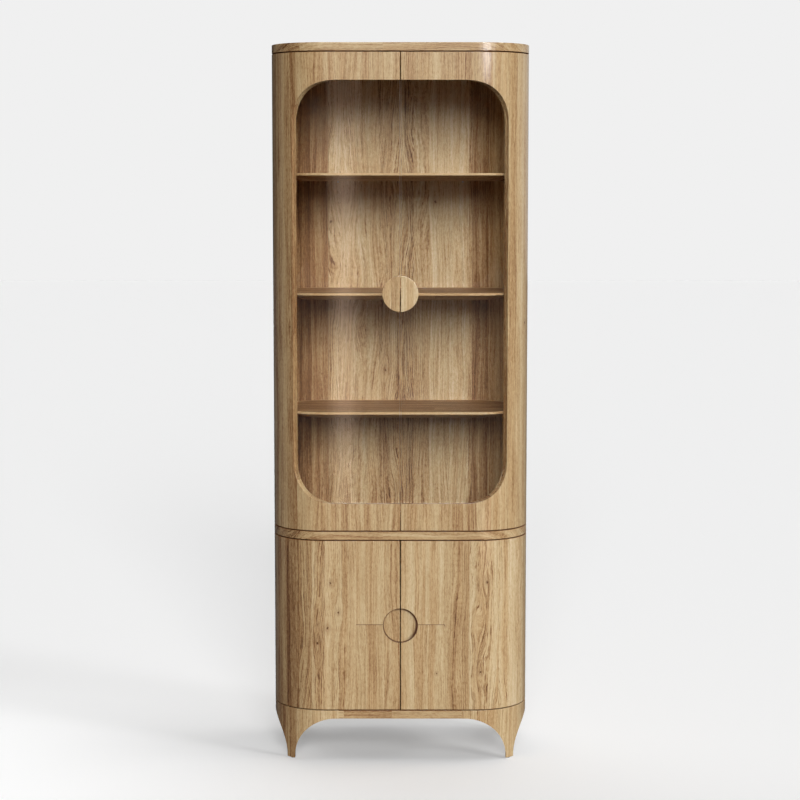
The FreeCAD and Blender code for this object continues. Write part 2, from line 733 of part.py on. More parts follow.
def display_shelf_top(index):
    bay = (TOP_FOOT - MID_TOP) / (DISPLAY_SHELVES + 1)
    return MID_TOP + bay * (index + 1)


def display_shelf(index):
    top = display_shelf_top(index)
    return cut_all(shelf_blank(top, SHELF_THICKNESS, SHELF_SETBACK), bevel_waste(top))


def lower_shelf_top():
    return (BASE_TOP + MID_FOOT) / 2


def shelf_pins(shelf_foot, fit=0.0):
    """Four pins under a shelf: two in the sides near their front edge and two in the back."""
    level = shelf_foot - SHELF_PIN_DIAMETER / 2
    length = SHELF_PIN_SEAT + SHELF_PIN_REACH
    diameter = SHELF_PIN_DIAMETER + 2 * fit
    side_start = at(WIDTH / 2 - SIDE_THICKNESS - SHELF_PIN_REACH, SIDE_FRONT + SHELF_PIN_FRONT_STEP, level)
    rear_start = at(ARC_X - SHELF_PIN_REAR_STEP, BACK_INSIDE - SHELF_PIN_REACH, level)
    front_pin = rod(diameter, length, side_start, RIGHTWARD)
    rear_pin = rod(diameter, length, rear_start, BACKWARD)
    return both_sides(front_pin) + both_sides(rear_pin)


def display_pin_holes():
    holes = []
    for index in range(DISPLAY_SHELVES):
        holes += shelf_pins(display_shelf_top(index) - SHELF_THICKNESS, FIT)
    return holes


# Parts list

def write(name, shapes):
    """Write a node from one solid, or from a group of separate solids."""
    shape = shapes if not isinstance(shapes, list) else Part.Compound(shapes)
    if not shape.isValid():
        raise ValueError(name + " is not a valid shape")
    solids = len(shape.Solids)
    print(f"{name:28s} {solids:3d} solids {shape.Volume:14.1f} mm3")
    shape.exportStep(f"parts/{name}.step")


def write_pair(name, right):
    """Write the right-hand and the left-hand copy of a piece or a group of pieces."""
    shapes = right if isinstance(right, list) else [right]
    left = [mirrored(shape) for shape in shapes]
    write(name + "_right", shapes if len(shapes) > 1 else shapes[0])
    write(name + "_left", left if len(left) > 1 else left[0])


def write_case():
    write("top_slab", top_slab())
    write("mid_slab", mid_slab())
    write("base_slab", base_slab())
    write_pair("leg_front", leg_front_right())
    write_pair("leg_rear", leg_rear_right())
    write("leg_dowels", leg_dowels())
    write("foot_glides", foot_glides())


def write_compartment(name, foot, top, count, pins):
    holes = back_screws(foot, top, count, FIT, drive=False)
    write_pair(name + "_side", side_right(foot, top, holes, pins))
    write(name + "_back_panel", back_panel(foot, top, holes, pins))
    write(name + "_back_screws", back_screws(foot, top, count))
    write(name + "_side_dowels", side_dowels(foot, BELOW) + side_dowels(top, ABOVE))


def write_doors(name, foot, height, door):
    write_pair(name + "_door", door)
    write_pair(name + "_pivot_bushes", pivot_bushes(foot, height))
    write(name + "_pivot_pins", pivot_pins(foot, height))
    write_pair(name + "_strike", strike(foot + height))
    write(name + "_catches", magnetic_catches(foot + height))


def write_glazing():
    write_pair("glass", glass_right())
    write_pair("glazing_bead", glazing_bead_right())
    write_pair("handle", handle_right())
    write_pair("handle_backing", handle_backing_right())
    head_y = backing_front() + BACKING_THICKNESS
    places = handle_screw_places(head_y)
    screws = [with_drive(screw, HANDLE_SCREW_HEAD, place, FORWARD)
              for screw, place in zip(handle_screws_right(), places)]
    write_pair("handle_screws", screws)


def write_shelves():
    for index in range(DISPLAY_SHELVES):
        name = f"display_shelf_{index + 1}"
        write(name, display_shelf(index))
        write(name + "_pins", shelf_pins(display_shelf_top(index) - SHELF_THICKNESS))
    top = lower_shelf_top()
    write("lower_shelf", shelf_blank(top, LOWER_SHELF_THICKNESS, LOWER_SHELF_SETBACK))
    write("lower_shelf_pins", shelf_pins(top - LOWER_SHELF_THICKNESS))


def main():
    os.makedirs("parts", exist_ok=True)
    lower_pins = shelf_pins(lower_shelf_top() - LOWER_SHELF_THICKNESS, FIT)
    write_case()
    write_compartment("lower", BASE_TOP, MID_FOOT, LOWER_BACK_SCREWS, lower_pins)
    write_compartment("upper", MID_TOP, TOP_FOOT, UPPER_BACK_SCREWS, display_pin_holes())
    write_doors("lower", LOWER_DOOR_FOOT, LOWER_DOOR_HEIGHT, lower_door_right())
    write_doors("upper", UPPER_DOOR_FOOT, UPPER_DOOR_HEIGHT, upper_door_right())
    write_glazing()
    write_shelves()


main()
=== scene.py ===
"""Tall display cabinet in oak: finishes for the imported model, and a pale studio round it."""

import logging
import math
from dataclasses import dataclass
from enum import Enum
from functools import partialmethod
from typing import Iterable, Sequence, Union

import bpy
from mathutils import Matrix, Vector

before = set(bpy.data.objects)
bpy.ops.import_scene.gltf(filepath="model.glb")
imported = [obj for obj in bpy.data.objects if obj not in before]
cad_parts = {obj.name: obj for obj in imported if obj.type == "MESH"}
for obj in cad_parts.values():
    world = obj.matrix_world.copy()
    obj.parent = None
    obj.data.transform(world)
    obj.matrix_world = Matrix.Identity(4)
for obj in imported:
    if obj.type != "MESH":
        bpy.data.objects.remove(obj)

LOG = logging.getLogger("cabinet")

Socket = bpy.types.NodeSocket
Value = Union[float, Sequence[float], Socket]
Inputs = dict[Union[str, int], Value]
Pair = tuple[float, float]
Colour = tuple[float, float, float]
WHITE: Colour = (1.0, 1.0, 1.0)


class Grain(Enum):
    """Which way the fibres of a piece run."""

    UPRIGHT_ROUND_BEND = "upright, on a face that is bent round the plan"
    UPRIGHT = "upright, on a flat or solid piece"
    LENGTHWAYS = "from left to right through a solid piece"


@dataclass(frozen=True)
class Plan:
    """Sizes of the cabinet's outline in plan, in metres."""

    half_width: float = 0.375
    half_depth: float = 0.200
    corner_radius: float = 0.155

    @property
    def arc_x(self) -> float:
        """Distance of the corner centres from the middle, across."""
        return self.half_width - self.corner_radius

    @property
    def arc_y(self) -> float:
        """Distance of the corner centres from the middle, front to back."""
        return self.half_depth - self.corner_radius


PLAN = Plan()


def linear(level: int) -> float:
    """Turn a display level of 0 to 255 into the linear level that shaders take."""
    share = level / 255
    return share / 12.92 if share <= 0.04045 else ((share + 0.055) / 1.055) ** 2.4


def srgb(red: int, green: int, blue: int) -> Colour:
    """Turn a display colour of 0 to 255 into a linear colour."""
    return linear(red), linear(green), linear(blue)


class Graph:
    """Adds nodes to one tree and links them."""

    def __init__(self, tree: bpy.types.NodeTree) -> None:
        """Keep the tree that the nodes go into."""
        self.tree = tree

    def node(self, kind: str, inputs: Inputs | None = None, **settings: object) -> bpy.types.Node:
        """Add a node.

        Args:
            kind: Node type.
            inputs: Values or sockets for its inputs, by name or number.
            **settings: Properties of the node.

        Returns:
            The new node.
        """
        made = self.tree.nodes.new(kind)
        for name, setting in settings.items():
            setattr(made, name, setting)
        self.fill(made, inputs or {})
        return made

    def fill(self, node: bpy.types.Node, inputs: Inputs) -> None:
        """Give inputs of a node their constants or links.

        Args:
            node: Node to fill.
            inputs: Numbers, colours, vectors or output sockets, by the input's name or number.
        """
        for key, value in inputs.items():
            socket = node.inputs[key]
            if isinstance(value, bpy.types.NodeSocket):
                self.tree.links.new(value, socket)
            elif socket.type == "RGBA":
                socket.default_value = (*value, 1.0)
            else:
                socket.default_value = value

    def math(self, operation: str, *values: Value, clamp: bool = False) -> Socket:
        """Calculate with a Math node, whose result can be kept between 0 and 1."""
        inputs = dict(enumerate(values))
        return self.node("ShaderNodeMath", inputs, operation=operation, use_clamp=clamp).outputs[0]

    # Short names for the operations that the graphs use most.
    plus = partialmethod(math, "ADD")
    minus = partialmethod(math, "SUBTRACT")
    times = partialmethod(math, "MULTIPLY")
    over = partialmethod(math, "DIVIDE")
    scaled = partialmethod(math, "MULTIPLY_ADD")
    most = partialmethod(math, "MAXIMUM")
    least = partialmethod(math, "MINIMUM")
    above = partialmethod(math, "GREATER_THAN")
    below = partialmethod(math, "LESS_THAN")
    size = partialmethod(math, "ABSOLUTE")

    def between(self, value: Value, low: float, high: float) -> Socket:
        """Tell with 1 or 0 whether a value lies between two limits."""
        return self.times(self.above(value, low), self.below(value, high))

    def length(self, side: Value, rise: Value) -> Socket:
        """Give the long side of a right-angled triangle."""
        return self.math("SQRT", self.plus(self.times(side, side), self.times(rise, rise)))

    def spread(self, value: Value, low: float, high: float, to_low: float = 0.0,
               to_high: float = 1.0) -> Socket:
        """Map the range from low to high to another one, smoothly and clamped."""
        inputs = {0: value, 1: low, 2: high, 3: to_low, 4: to_high}
        return self.node("ShaderNodeMapRange", inputs, interpolation_type="SMOOTHSTEP").outputs[0]

    def noise(self, place: Value, scale: Value = 1.0, detail: float = 2.0,
              roughness: float = 0.5) -> Socket:
        """Read a noise in three dimensions, about 0.5 on average."""
        inputs = {"Vector": place, "Scale": scale, "Detail": detail, "Roughness": roughness}
        return self.node("ShaderNodeTexNoise", inputs).outputs[0]

    def stripes(self, distance: Value, detail: float = 1.0) -> Socket:
        """Read uneven stripes at a distance in stripe widths, about 0.5 on average."""
        inputs = {"W": distance, "Scale": 1.0, "Detail": detail, "Roughness": 0.5}
        return self.node("ShaderNodeTexNoise", inputs, noise_dimensions="1D").outputs[0]

    def mix(self, share: Value, first: Value, second: Value, how: str = "MIX") -> Socket:
        """Blend two colours, with the second one's share."""
        inputs = {0: share, 6: first, 7: second}
        return self.node("ShaderNodeMix", inputs, data_type="RGBA", blend_type=how).outputs[2]

    def ramp(self, share: Value, stops: Iterable[tuple[float, Colour]], how: str = "LINEAR") -> Socket:
        """Look up a colour on a ramp.

        Args:
            share: Place on the ramp, from 0 to 1.
            stops: Place and colour of each stop, in order.
            how: Way from stop to stop.

        Returns:
            The colour there.
        """
        made = self.node("ShaderNodeValToRGB", {0: share})
        made.color_ramp.interpolation = how
        elements = made.color_ramp.elements
        for index, (place, colour) in enumerate(stops):
            stop = elements[index] if index < 2 else elements.new(place)
            stop.position, stop.color = place, (*colour, 1.0)
        return made.outputs[0]

    def vector(self, x: Value = 0.0, y: Value = 0.0, z: Value = 0.0) -> Socket:
        """Join three numbers into a vector."""
        return self.node("ShaderNodeCombineXYZ", {0: x, 1: y, 2: z}).outputs[0]

    def axes(self, vector: Value) -> list[Socket]:
        """Split a vector into its three numbers."""
        return self.node("ShaderNodeSeparateXYZ", {0: vector}).outputs[:3]

    def place(self, kind: str = "Object") -> Socket:
        """Give the coordinates of one kind."""
        return self.node("ShaderNodeTexCoord").outputs[kind]

    def bump(self, height: Value, strength: float, distance: float) -> Socket:
        """Turn a relief of 0 to 1 into a normal, with its strength and its depth in metres."""
        inputs = {"Strength": strength, "Distance": distance, "Height": height}
        return self.node("ShaderNodeBump", inputs).outputs[0]

    def seen_straight(self) -> Socket:
        """Tell the rays of the eye from those of reflections and soft light.

        Returns:
            1 for a ray that comes straight from the eye, also through glass, and 0 otherwise.
        """
        path = self.node("ShaderNodeLightPath").outputs
        direct = self.minus(1.0, path["Glossy Depth"], clamp=True)
        return self.most(path["Is Camera Ray"], self.times(path["Is Transmission Ray"], direct))

    def use(self, group: bpy.types.NodeTree, **inputs: Value) -> bpy.types.Node:
        """Place a node group.

        Args:
            group: Group to place.
            **inputs: Values for its inputs, with spaces in their names written as underscores.

        Returns:
            The group's node.
        """
        named = {name.replace("_", " "): value for name, value in inputs.items()}
        made = self.node("ShaderNodeGroup", node_tree=group)
        self.fill(made, named)
        return made

    def give(self, **results: Socket) -> bpy.types.NodeTree:
        """End a node group with its outputs.

        Args:
            **results: Sockets by name; Colour is a colour and the others are numbers.

        Returns:
            The group.
        """
        for title in results:
            kind = "NodeSocketColor" if title == "Colour" else "NodeSocketFloat"
            self.tree.interface.new_socket(title, in_out="OUTPUT", socket_type=kind)
        self.node("NodeGroupOutput", results)
        return self.tree


def new_group(name: str, **inputs: float | None) -> tuple[Graph, list[Socket]]:
    """Start a shader node group.

    Args:
        name: Name of the group.
        **inputs: Default number of each input, or None for a vector.

    Returns:
        Its graph and the sockets that bring its inputs.
    """
    tree = bpy.data.node_groups.new(name, "ShaderNodeTree")
    for title, default in inputs.items():
        kind = "NodeSocketVector" if default is None else "NodeSocketFloat"
        socket = tree.interface.new_socket(title.replace("_", " "), in_out="INPUT", socket_type=kind)
        if default is not None:
            socket.default_value = default
    graph = Graph(tree)
    return graph, graph.node("NodeGroupInput").outputs[:len(inputs)]


@dataclass(frozen=True)
class Layer:
    """A noise in the oak: scales across and along the grain, and the span that fills 0 to 1."""

    wide: float
    long: float
    span: Pair | None = None
    detail: float = 1.0
    roughness: float = 0.5


RING_BREAKS = Layer(160.0, 30.0, (0.40, 0.60))
FIBRES = Layer(270.0, 5.0, (0.32, 0.68), 3.0, 0.7)
SHORT_GRAIN = Layer(260.0, 95.0, (0.34, 0.66), 3.0, 0.7)
DASHES = Layer(520.0, 75.0, (0.55, 0.68))
PORES = Layer(1300.0, 190.0, (0.56, 0.70))
CLOUDS = Layer(14.0, 4.5, (0.30, 0.70), 3.0, 0.55)
# Swings of the grain sideways, in metres: for each unit of sweep, and without any.
SWINGS = ((Layer(8.0, 1.7, detail=2.0), 0.15, 0.02), (Layer(60.0, 26.0, detail=2.0), 0.006, 0.0012))


class Effects:
    """Shared effects of the finishes, each built once as a node group."""

    seed_shift: float = 17.3
    seed_start: float = 53.0
    ring_slant: float = 0.35
    ring_line: Pair = (0.060, 0.010)
    ring_broken: Pair = (0.7, 0.3)
    band_width: float = 0.030
    band_span: Pair = (0.33, 0.67)
    streak_width: float = 0.0075
    streak_span: Pair = (0.30, 0.70)
    pore_share: float = 0.7
    knot_scale: float = 240.0
    knot_flat: float = 0.5
    knot_ragged: float = 1.6
    knot_core: Pair = (1.00, 0.30)
    knot_halo: Pair = (4.5, 0.8)
    knot_push: float = -2.4
    push_reach: Pair = (5.0, 10.0)
    band_light: float = 0.13
    streak_light: float = 0.08
    cloud_light: float = 0.11
    fibre_light: float = 0.22
    grain_light: float = 0.11
    ring_dark: Pair = (0.46, 0.02)
    vessel_dark: float = 0.10
    band_warmth: float = 0.42
    tones: tuple[tuple[float, Colour], ...] = (
        (0.0, srgb(88, 56, 33)), (0.22, srgb(138, 99, 62)), (0.5, srgb(188, 157, 113)),
        (0.75, srgb(209, 185, 144)), (1.0, srgb(225, 206, 172)))
    warm_tint: Colour = (1.03, 0.93, 0.84)
    vessel_tint: Colour = (0.86, 0.72, 0.62)
    vessel_share: float = 0.30
    halo_tone: Colour = srgb(132, 94, 58)
    halo_share: float = 0.25
    core_tone: Colour = srgb(88, 46, 16)
    core_share: float = 0.92
    joint_and_shade_tone: Colour = srgb(84, 46, 24)
    gap_shade_tone: Colour = srgb(132, 80, 36)
    fibre_rough: Pair = (-0.06, 0.54)
    vessel_rough: float = 0.14
    core_rough: float = 0.1
    fibre_height: float = 0.35
    ring_depth: float = 0.3
    core_depth: float = 0.6

    def __init__(self) -> None:
        """Build every group."""
        self.bend = self.round_the_bend()
        self.figure = self.oak_figure()
        self.knot = self.knot_in_oak()
        self.edge = self.edge_band()
        self.colour = self.oak_colour()
        self.handling = self.handling_marks()

    def round_the_bend(self) -> bpy.types.NodeTree:
        """Measure along the cabinet's face instead of across it.

        Returns:
            Group that turns a position into distance round the plan and depth inside the face.
        """
        graph, (position,) = new_group("Round the bend", Position=None)
        x, y, z = graph.axes(position)
        across = graph.size(x)
        past_x = graph.most(graph.minus(across, PLAN.arc_x), 0.0)
        before = graph.most(graph.minus(graph.times(y, -1.0), PLAN.arc_y), 0.0)
        behind = graph.most(graph.minus(y, PLAN.arc_y), 0.0)
        front_turn = graph.minus(math.pi / 2, graph.math("ARCTAN2", before, past_x))
        turn = graph.plus(front_turn, graph.math("ARCTAN2", behind, past_x))
        flank = graph.least(graph.most(graph.plus(y, PLAN.arc_y), 0.0), 2 * PLAN.arc_y)
        around = graph.plus(graph.least(across, PLAN.arc_x), flank)
        around = graph.scaled(turn, PLAN.corner_radius, around)
        around = graph.times(around, graph.math("SIGN", x))
        reach = graph.length(past_x, graph.most(before, behind))
        return graph.give(Around=around, Inset=graph.minus(PLAN.corner_radius, reach), Height=z)

    def oak_figure(self) -> bpy.types.NodeTree:
        """Draw the bands, growth rings, fibres and vessels of sawn oak.

        Returns:
            Group that takes a place in a board, in metres: across, into it and along it.
        """
        graph, (across, into, along, seed, sweep, width) = new_group(
            "Oak figure", Across=0.0, Into=0.0, Along=0.0, Seed=0.0, Sweep=0.5, Ring_width=0.006)
        shift, start = graph.times(seed, self.seed_shift), graph.times(seed, self.seed_start)

        def read(layer: Layer, over: Socket) -> Socket:
            """Read one layer of the figure.

            Args:
                layer: Layer to read.
                over: Place across the grain, straight or with its swing.

            Returns:
                Its value, from 0 to 1.
            """
            place = graph.vector(graph.times(over, layer.wide), graph.scaled(into, layer.wide, shift),
                                 graph.times(along, layer.long))
            value = graph.noise(place, detail=layer.detail, roughness=layer.roughness)
            return graph.spread(value, *layer.span) if layer.span else value

        swings = [graph.times(graph.minus(read(layer, across), 0.5),
                              graph.scaled(sweep, swept, straight)) for layer, swept, straight in SWINGS]
        ring = graph.plus(graph.scaled(into, self.ring_slant, across), graph.plus(*swings))
        bands = graph.stripes(graph.scaled(ring, 1.0 / self.band_width, start))
        streaks = graph.stripes(graph.scaled(ring, 1.0 / self.streak_width, start), detail=2.0)
        count = graph.plus(graph.over(ring, width), start)
        line = graph.spread(graph.size(graph.minus(graph.stripes(count), 0.5)), *self.ring_line)
        rings = graph.times(line, graph.scaled(read(RING_BREAKS, ring), *self.ring_broken))
        vessels = graph.most(read(DASHES, ring), graph.times(read(PORES, ring), self.pore_share))
        return graph.give(
            Bands=graph.spread(bands, *self.band_span), Streaks=graph.spread(streaks, *self.streak_span),
            Rings=rings, Fibres=read(FIBRES, ring), Grain=read(SHORT_GRAIN, ring), Vessels=vessels,
            Clouds=read(CLOUDS, across))

    def knot_in_oak(self) -> bpy.types.NodeTree:
        """Draw one small knot, and the fibres that part round it.

        Returns:
            Group with the knot's mask, its halo and how far it pushes the fibres sideways.
        """
        graph, (across, along, at_across, at_along, radius) = new_group(
            "Knot", Across=0.0, Along=0.0, At_across=0.0, At_along=0.0, Radius=0.004)
        ragged = graph.noise(graph.vector(across, at_across, along), scale=self.knot_scale)
        side, rise = graph.minus(across, at_across), graph.minus(along, at_along)
        near = graph.plus(graph.times(side, side), graph.times(graph.times(rise, rise), self.knot_flat))
        reach = graph.over(graph.math("SQRT", near), radius)
        reach = graph.plus(reach, graph.scaled(ragged, self.knot_ragged, -self.knot_ragged / 2))
        wide, long = (graph.over(way, graph.times(radius, reach))
                      for way, reach in zip((side, rise), self.push_reach))
        fall = graph.plus(graph.times(wide, wide), graph.times(long, long))
        fall = graph.math("EXPONENT", graph.times(fall, -1.0))
        push = graph.times(graph.times(graph.math("SIGN", side), radius), fall)
        return graph.give(
            Core=graph.spread(reach, *self.knot_core), Halo=graph.spread(reach, *self.knot_halo),
            Push=graph.times(push, self.knot_push))

    def edge_band(self) -> bpy.types.NodeTree:
        """Find the band along an edge or joint that takes a darker tone: painted shade where the edge
        borders a gap.

        Returns:
            Group that is 1 at a distance of nothing from the edge and fades to 0 at its width.
        """
        graph, (place, edge, width) = new_group("Edge tone", Place=0.0, Edge=0.0, Width=0.004)
        off = graph.over(graph.size(graph.minus(place, edge)), width)
        share = graph.minus(1.0, off, clamp=True)
        return graph.give(Mask=graph.times(share, share))

    def oak_colour(self) -> bpy.types.NodeTree:
        """Turn the figure of oak into colour, roughness and relief.

        Returns:
            Group with the oiled and lacquered surface's colour, roughness and height.
        """
        graph, given = new_group(
            "Oak colour", Bands=0.5, Streaks=0.5, Rings=0.0, Fibres=0.5, Grain=0.5, Vessels=0.0,
            Clouds=0.5, Tone=0.5, Figure=0.5, Core=0.0, Halo=0.0, Edge=0.0, Rim=0.0, Crisp=1.0)
        bands, streaks, rings, fibres, grain, vessels, clouds, light = given[:8]
        figure, core, halo, edge, rim, crisp = given[8:]
        for share, weight in ((bands, self.band_light), (streaks, self.streak_light),
                              (clouds, self.cloud_light)):
            light = graph.plus(light, graph.scaled(share, weight, -weight / 2))
        fine = graph.scaled(grain, self.grain_light, -(self.fibre_light + self.grain_light) / 2)
        light = graph.scaled(graph.scaled(fibres, self.fibre_light, fine), crisp, light)
        light = graph.minus(light, graph.times(rings, graph.scaled(figure, *self.ring_dark)))
        light = graph.minus(light, graph.times(vessels, self.vessel_dark), clamp=True)
        colour = graph.ramp(light, self.tones)
        warm = graph.times(graph.minus(1.0, bands), self.band_warmth)
        colour = graph.mix(warm, colour, self.warm_tint, "MULTIPLY")
        tinted = graph.times(vessels, self.vessel_share)
        colour = graph.mix(tinted, colour, self.vessel_tint, "MULTIPLY")
        # Painted shade: the edge mask darkens gaps and seams; the rim mask holds the recess's painted
        # shade along with the dark splice joints.
        for share, tone in ((graph.times(halo, self.halo_share), self.halo_tone),
                            (graph.times(core, self.core_share), self.core_tone),
                            (rim, self.joint_and_shade_tone), (edge, self.gap_shade_tone)):
            colour = graph.mix(share, colour, tone)
        rough = graph.scaled(vessels, self.vessel_rough, graph.scaled(fibres, *self.fibre_rough))
        rough = graph.plus(rough, graph.times(core, self.core_rough))
        hollow = graph.scaled(core, self.core_depth, graph.times(rings, self.ring_depth))
        height = graph.minus(graph.minus(graph.times(fibres, self.fibre_height), vessels), hollow)
        return graph.give(Colour=colour, Roughness=rough, Height=height)

    def handling_marks(self) -> bpy.types.NodeTree:
        """Draw faint smears and specks left by hands and cloths.

        Returns:
            Group with a smear mask and a speck mask.
        """
        graph, (position, scale) = new_group("Handling marks", Position=None, Scale=6.0)
        smears = graph.spread(graph.noise(position, scale, detail=4.0, roughness=0.6), 0.42, 0.75)
        specks = graph.spread(graph.noise(position, scale=900.0, detail=1.0), 0.70, 0.78)
        return graph.give(Smears=smears, Specks=specks)


class Sheet(Graph):
    """The graph of one material, with what its finish draws on."""

    def __init__(self, name: str, effects: Effects | None = None) -> None:
        """Start a material.

        Args:
            name: Name of the material.
            effects: Shared node groups, for a finish that draws on them.
        """
        self.material = bpy.data.materials.new(name)
        self.material.use_nodes = True
        super().__init__(self.material.node_tree)
        self.effects = effects
        self.shader = self.tree.nodes["Principled BSDF"]
        self.position = self.place()

    def band(self, place: Value, edge: float, width: float) -> Socket:
        """Find the band along an edge or joint that takes a darker tone, painted shade where it borders
        a gap.
        """
        return self.use(self.effects.edge, Place=place, Edge=edge, Width=width).outputs[0]

    def bent(self) -> list[Socket]:
        """Give the places round the bend, into the face and up it."""
        return self.use(self.effects.bend, Position=self.position).outputs[:3]

    def marks(self, scale: float) -> list[Socket]:
        """Draw the smears and the specks of handling."""
        return self.use(self.effects.handling, Position=self.position, Scale=scale).outputs[:2]


@dataclass(frozen=True)
class Leaf:
    """One board or veneer leaf: where it ends, and how it looks."""

    end: float
    tone: float
    sweep: float = 0.3


@dataclass(frozen=True)
class Knot:
    """A small knot, placed across and along the grain."""

    across: float
    along: float
    radius: float


@dataclass(frozen=True)
class Splice:
    """A fine cross joint, below which some leaves are other boards."""

    height: float
    start: float
    end: float
    tone_change: float
    seed_change: float = 0.29
    width: float = 0.0026


@dataclass(frozen=True)
class Recess:
    """A round finger recess: the height of its middle, its radius, and the shade painted at its rim and
    on its floor along the upper right wall.
    """

    level: float
    radius: float
    rim_width: float = 0.0030
    rim_share: float = 1.3
    wall_share: float = 1.35
    wall_from: float = 0.0095
    wall_to: float = 0.0015
    wall_over: float = 0.001
    shade_slant: float = 0.35
    shade_span: Pair = (-0.012, 0.040)

    def mask(self, sheet: Sheet, place: Socket, height: Socket) -> Socket:
        """Find where shade is painted in the recess: a dark ring at its rim, and a painted shadow on its
        floor along the upper right wall.

        Args:
            sheet: Material to find them in.
            place: Place across the leaves.
            height: Height above the floor.

        Returns:
            Mask of both.
        """
        rise = sheet.minus(height, self.level)
        reach = sheet.length(place, rise)
        rim = sheet.band(reach, self.radius, self.rim_width)
        # The painted shadow falls on the right and upper side of the recess floor, as if cast by the
        # wall.
        shaded = sheet.spread(sheet.scaled(rise, self.shade_slant, place), *self.shade_span)
        wall = sheet.times(sheet.spread(reach, self.radius - self.wall_from, self.radius - self.wall_to),
                           sheet.below(reach, self.radius + self.wall_over))
        return sheet.most(sheet.times(rim, self.rim_share),
                          sheet.times(sheet.times(wall, shaded), self.wall_share))


Leaves = tuple[Leaf, ...]
Knots = tuple[Knot, ...]


@dataclass(frozen=True)
class OakFinish:
    """Natural oak under a satin lacquer. Its leaves reach as far to the left as to the right."""

    name: str
    grain: Grain
    leaves: Leaves
    seed: float
    knots: Knots = ()
    level_edges: tuple[float, ...] = ()
    half_seam: float | None = None
    splices: tuple[Splice, ...] = ()
    recess: Recess | None = None
    inner_shade_drop: float = 0.0
    inner_from: float = 0.011
    inner_beyond: float = -1.0
    painted_low_shade: tuple[float, float, float] | None = None
    nose_highlight: Pair | None = None
    lengthways_between: Pair | None = None
    slant: float = 0.45
    ring_width: float = 0.0042
    edge_width: float = 0.0020
    gap_shade_share: float = 0.85
    edge_fade: tuple[float, ...] = (0.012, 0.004, 0.25, 1.0)
    rim_share: float = 0.82
    band_depth: float = 0.022
    flat_from: float = 0.0015
    bare_share: float = 0.9
    coat: float = 0.85
    gloss: float = 0.12
    specular: float = 0.22
    crisp: float = 1.0
    relief: Pair = (0.22, 0.0004)
    shade_tint: Colour = WHITE

    def paint(self, sheet: Sheet) -> None:
        """Draw the finish.

        Args:
            sheet: Material to draw it in.
        """
        x, y, z = sheet.axes(sheet.position)
        bent, lengthways = self.grain is Grain.UPRIGHT_ROUND_BEND, self.grain is Grain.LENGTHWAYS
        inset: Value = 0.0
        if bent:
            across, into, along = sheet.bent()
            inset = into
        elif lengthways:
            across, into, along = sheet.scaled(y, self.slant, z), y, x
            inset = sheet.bent()[1]
        else:
            across, into, along = x, y, z
        place = x if lengthways else across
        if self.lengthways_between is not None:
            across, along = self.swap_in_middle(sheet, x, z, across)
        tone, seed, sweep = self.leaf_map(sheet, place)
        # The edge mask paints the shade of the gaps and seams as a darker brown along them.
        edge = self.edge_mask(sheet, place, z)
        bare: Value = 0.0
        if lengthways:
            edge = sheet.times(edge, sheet.below(inset, self.band_depth))
            bare = sheet.times(sheet.above(inset, self.flat_from), self.bare_share)
        elif bent:
            edge = sheet.times(edge, sheet.spread(inset, *self.edge_fade))
        rim: Value = 0.0
        for splice in self.splices:
            between = sheet.between(place, splice.start, splice.end)
            under = sheet.times(sheet.below(z, splice.height), between)
            tone = sheet.scaled(under, splice.tone_change, tone)
            seed = sheet.scaled(under, splice.seed_change, seed)
            rim = sheet.most(rim, sheet.times(sheet.band(z, splice.height, splice.width), between))
        # The recess adds its painted shade to the same mask as the dark splice joints.
        if self.recess is not None:
            rim = sheet.most(rim, self.recess.mask(sheet, place, z))
        # Painted shade: faces deeper than inner_from, and right of inner_beyond, take a lower tone.
        if self.inner_shade_drop:
            inside = sheet.above(inset, self.inner_from)
            bare = sheet.times(inside, self.bare_share)
            inside = sheet.times(inside, sheet.above(x, self.inner_beyond))
            tone = sheet.scaled(inside, -self.inner_shade_drop, tone)
        # Painted shade: the tone darkens towards the bottom, between the given heights.
        if self.painted_low_shade is not None:
            low, high, drop = self.painted_low_shade
            tone = sheet.minus(tone, sheet.spread(z, high, low, 0.0, drop))
        # Painted highlight: the tone is raised along the nose, where light catches the front edge.
        if self.nose_highlight is not None:
            depth, light = self.nose_highlight
            tone = sheet.scaled(sheet.below(inset, depth), light, tone)
        core: Value = 0.0
        halo: Value = 0.0
        for knot in self.knots:
            drawn = sheet.use(sheet.effects.knot, Across=across, Along=along, At_across=knot.across,
                              At_along=knot.along, Radius=knot.radius).outputs
            across = sheet.plus(across, drawn["Push"])
            core = sheet.most(core, drawn["Core"])
            halo = sheet.most(halo, drawn["Halo"])
        figure = sheet.use(sheet.effects.figure, Across=across, Into=into, Along=along, Seed=seed,
                           Sweep=sweep, Ring_width=self.ring_width)
        shown = sheet.use(sheet.effects.colour, Tone=tone, Figure=sweep, Core=core, Halo=halo,
                          Edge=sheet.times(edge, self.gap_shade_share, clamp=True),
                          Rim=sheet.times(rim, self.rim_share, clamp=True), Crisp=self.crisp,
                          **{output.name: output for output in figure.outputs}).outputs
        colour = shown["Colour"]
        # Painted shade: the tint multiplies the colour of pieces inside the case.
        if self.shade_tint != WHITE:
            colour = sheet.mix(1.0, colour, self.shade_tint, "MULTIPLY")
        bare = sheet.most(bare, sheet.most(edge, rim))
        sheet.fill(sheet.shader, {
            "Base Color": colour, "Roughness": shown["Roughness"], "Specular IOR Level": self.specular,
            "Normal": sheet.bump(shown["Height"], *self.relief), "Coat Roughness": self.gloss,
            "Coat Weight": sheet.scaled(bare, -self.coat, self.coat, clamp=True)})

